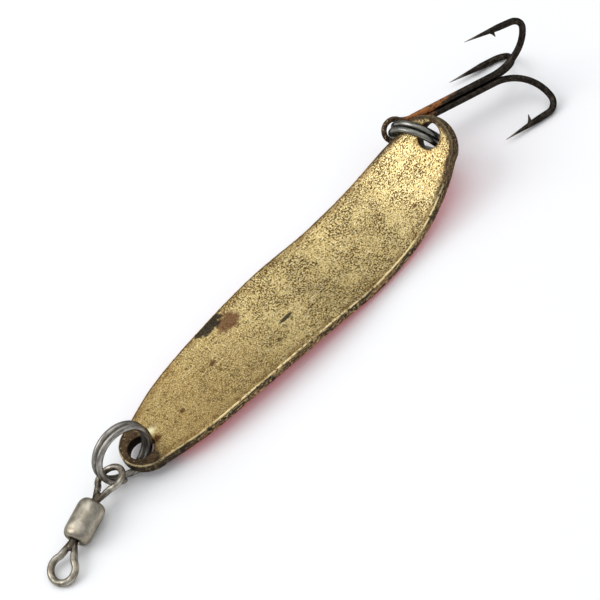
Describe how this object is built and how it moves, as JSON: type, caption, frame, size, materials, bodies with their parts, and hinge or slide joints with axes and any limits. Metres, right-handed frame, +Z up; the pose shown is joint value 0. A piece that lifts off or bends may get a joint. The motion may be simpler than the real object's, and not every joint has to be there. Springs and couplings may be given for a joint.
{
  "type": "spoon lure",
  "caption": "Curved metal casting spoon with a split ring and barrel swivel at the nose and a brazed treble hook on a split ring at the tail.",
  "frame": {"origin": "centre of the footprint of all the parts, at the level of the surface the lure lies on", "axes": "+X along the blade from its nose to its tail and the hooks, +Y to the blade's left seen from above, +Z up"},
  "size_m": [0.1344, 0.0234, 0.0181],
  "materials": {
    "blade_metal": "worn satin",
    "ring_steel": "dull nickel plate",
    "swivel_nickel": "satin nickel plate",
    "swivel_wire": "tarnished",
    "hook_bronze": "dark bronze, rusted at the eye",
    "hook_braze": "tarnished"
  },
  "bodies": {
    "blade": {"spoon_blade": "blade_metal"},
    "nose_ring": {"nose_split_ring": "ring_steel"},
    "swivel_ring_eye": {"swivel_ring_eye": "swivel_wire"},
    "swivel_barrel": {"swivel_barrel": "swivel_nickel"},
    "swivel_line_eye": {"swivel_line_eye": "swivel_wire"},
    "tail_ring": {"tail_split_ring": "ring_steel"},
    "treble_hook": {"hook_double": "hook_bronze", "hook_single": "hook_bronze", "hook_braze": "hook_braze"}
  },
  "joints": [
    {"name": "nose_ring_swing", "type": "hinge", "parent": "blade", "child": "nose_ring", "pos_m": [-0.0427, -0.00142, 0.0028], "axis": [-0.043, -0.996, 0.078], "range_deg": [-5, 120]},
    {"name": "swivel_swing", "type": "hinge", "parent": "nose_ring", "child": "swivel_ring_eye", "pos_m": [-0.04748, -0.00132, 0.00391], "axis": [-0.1706, 0.1922, 0.9664], "range_deg": [-60, 60]},
    {"name": "barrel_spin", "type": "hinge", "parent": "swivel_ring_eye", "child": "swivel_barrel", "pos_m": [-0.05589, -0.0037, 0.0029], "axis": [-0.9559, -0.2701, -0.115], "continuous": true},
    {"name": "line_eye_spin", "type": "hinge", "parent": "swivel_barrel", "child": "swivel_line_eye", "pos_m": [-0.05589, -0.0037, 0.0029], "axis": [-0.9559, -0.2701, -0.115], "continuous": true},
    {"name": "tail_ring_swing", "type": "hinge", "parent": "blade", "child": "tail_ring", "pos_m": [0.03865, 0.00216, 0.00665], "axis": [0.9286, 0.2378, 0.285], "range_deg": [-45, 3]},
    {"name": "hook_swing", "type": "hinge", "parent": "tail_ring", "child": "treble_hook", "pos_m": [0.03706, 0.00698, 0.00799], "axis": [-0.2267, -0.8203, 0.5251], "range_deg": [-35, 90]}
  ]
}
